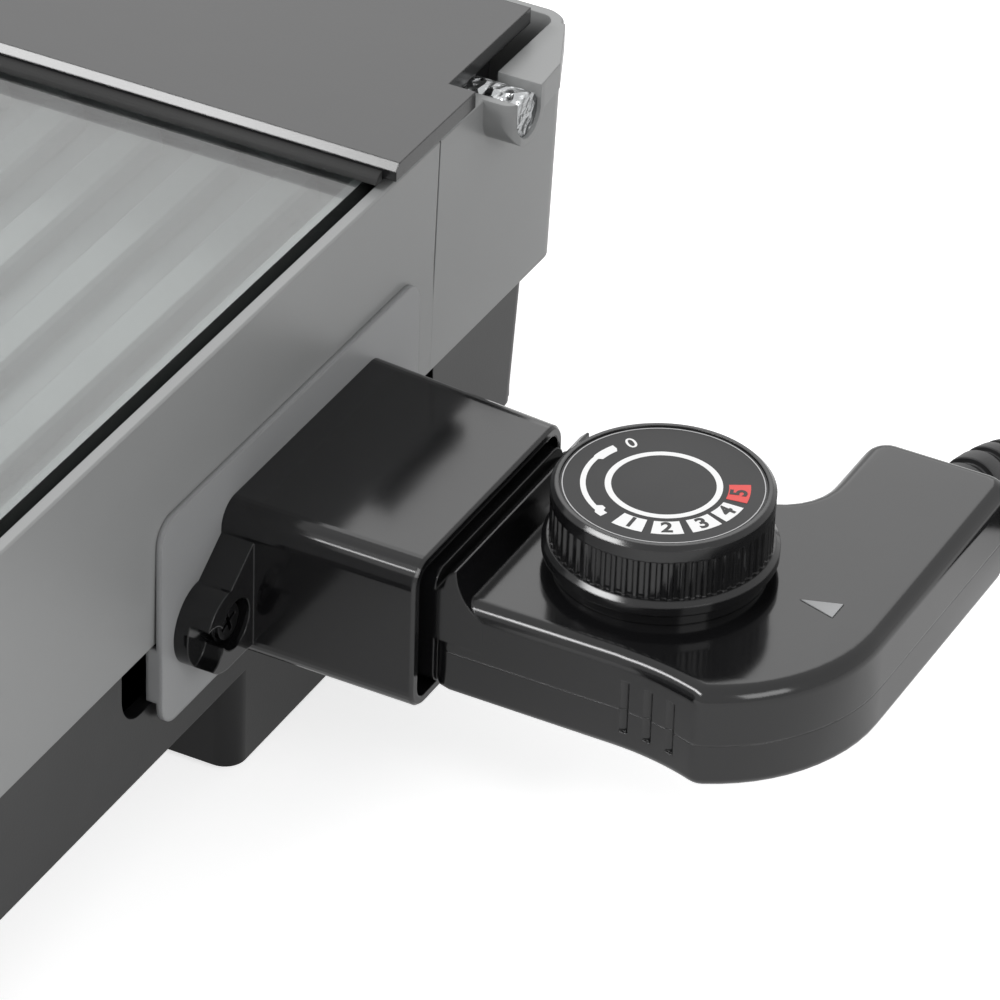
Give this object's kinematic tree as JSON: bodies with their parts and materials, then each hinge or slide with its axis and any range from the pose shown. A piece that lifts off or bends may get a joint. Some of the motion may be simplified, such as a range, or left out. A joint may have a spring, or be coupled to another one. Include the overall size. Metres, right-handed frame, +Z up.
{
  "type": "electric indoor grill with lid",
  "caption": "Countertop electric grill: ribbed plate in a painted shell, hinged glass lid, drip tray and a plug-in dial thermostat with cord.",
  "frame": {"origin": "on the table, at the centre of the box round the grill with its control plugged in", "axes": "+Z up, -Y the front where the drip tray and the handle are, +X the side with the socket and the control"},
  "size_m": [0.6617, 0.483, 0.1328],
  "materials": {
    "base_plastic": "fine matte",
    "foot_rubber": "matte",
    "tray_steel": "satin",
    "shell_paint": "satin",
    "black_steel": "satin",
    "cast_plate": "cast, coated, satin",
    "zinc_steel": "zinc plated",
    "element_sheath": "dark, heat tinted",
    "ceramic": "unglazed",
    "nickel": "polished",
    "contact_brass": "plain",
    "socket_paint": "satin",
    "gloss_black": "polished",
    "screw_black": "black zinc",
    "panel_gloss": "gloss",
    "lid_glass": "clear, tempered",
    "label_print": "satin",
    "lens_grey": "translucent",
    "cord_rubber": "satin"
  },
  "bodies": {
    "base": {"base_frame": "base_plastic", "foot_pad_1": "foot_rubber", "foot_pad_2": "foot_rubber", "foot_pad_3": "foot_rubber", "foot_pad_4": "foot_rubber"},
    "tray": {"drip_tray": "tray_steel"},
    "grill": {"shell_front": "shell_paint", "shell_rear": "shell_paint", "rear_channel": "black_steel", "grill_plate": "cast_plate", "plate_screws": "zinc_steel", "heating_element": "element_sheath", "element_bar_left": "zinc_steel", "element_bar_right": "zinc_steel", "element_clips": "zinc_steel", "terminal_block": "ceramic", "terminal_pins": "nickel", "earth_blade": "contact_brass", "socket_plate": "socket_paint", "socket_shroud": "gloss_black", "shroud_screws": "screw_black"},
    "pins": {"hinge_pin_left": "nickel", "hinge_pin_right": "nickel"},
    "lid": {"lid_panel": "panel_gloss", "lid_glass": "lid_glass", "glass_seal": "foot_rubber", "clamp_bar": "zinc_steel", "clamp_screws": "zinc_steel", "lid_handle": "gloss_black", "handle_spacers": "nickel", "handle_screws": "zinc_steel", "lid_bumpers": "foot_rubber"},
    "control": {"control_lower": "gloss_black", "control_upper": "gloss_black", "control_screws": "zinc_steel", "probe": "nickel", "contact_sleeves": "contact_brass", "thermostat_base": "ceramic", "contact_blade": "contact_brass", "pointer_lens": "lens_grey", "dial_collar": "gloss_black", "strain_relief": "cord_rubber", "cord": "cord_rubber", "cord_coil": "cord_rubber", "cord_tail": "cord_rubber", "cord_tie": "cord_rubber", "plug_body": "cord_rubber", "plug_pins": "nickel"},
    "dial": {"dial_knob": "gloss_black", "dial_label": "label_print", "dial_shaft": "zinc_steel", "dial_cam": "ceramic"}
  },
  "joints": [
    {"name": "tray_slide", "type": "slide", "parent": "base", "child": "tray", "axis": [0, -1, 0], "range_m": [0, 0.2]},
    {"name": "grill_lift", "type": "slide", "parent": "base", "child": "grill", "axis": [0, 0, 1], "range_m": [0, 0.06]},
    {"name": "lid_lift", "type": "slide", "parent": "grill", "child": "pins", "axis": [0, 0, 1], "range_m": [0, 0.03]},
    {"name": "lid_hinge", "type": "hinge", "parent": "pins", "child": "lid", "pos_m": [-0.05665, 0.1181, 0.0998], "axis": [-1, 0, 0], "range_deg": [0, 100]},
    {"name": "control_plug", "type": "slide", "parent": "grill", "child": "control", "axis": [1, 0, 0], "range_m": [0, 0.11]},
    {"name": "dial_turn", "type": "hinge", "parent": "control", "child": "dial", "pos_m": [0.23735, 0.045, 0.065], "axis": [0, 0, 1], "range_deg": [-16.5, 220.5]}
  ]
}
